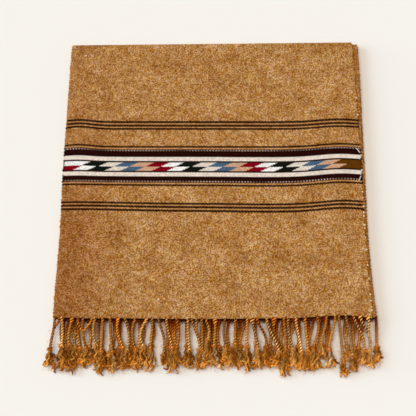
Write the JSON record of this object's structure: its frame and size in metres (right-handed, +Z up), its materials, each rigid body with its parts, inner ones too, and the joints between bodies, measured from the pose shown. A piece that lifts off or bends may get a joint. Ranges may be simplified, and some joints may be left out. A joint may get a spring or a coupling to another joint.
{
  "type": "folded wool scarf",
  "caption": "Hand-woven tan wool scarf with knotted fringes, folded crosswise into a flat stack, with a striped and patterned band across its face.",
  "frame": {"origin": "middle of the bounding box's base, on the surface that the folded scarf lies on", "axes": "+Z up through the stack, +X to the right along the hem, +Y from the fringe to the far fold"},
  "size_m": [0.406, 0.4298, 0.0113],
  "materials": {
    "woven_wool": "hand-woven wool in a heathered tan, with dark brown, cream and coloured weft stripes",
    "fringe_wool": "golden brown wool yarn, twisted in two plies, knotted and left loose at the ends"
  },
  "bodies": {
    "root": {"front_panel": "woven_wool", "back_panel": "woven_wool", "hidden_layers": "woven_wool", "front_fringe": "fringe_wool", "under_fringe": "fringe_wool"}
  },
  "joints": []
}
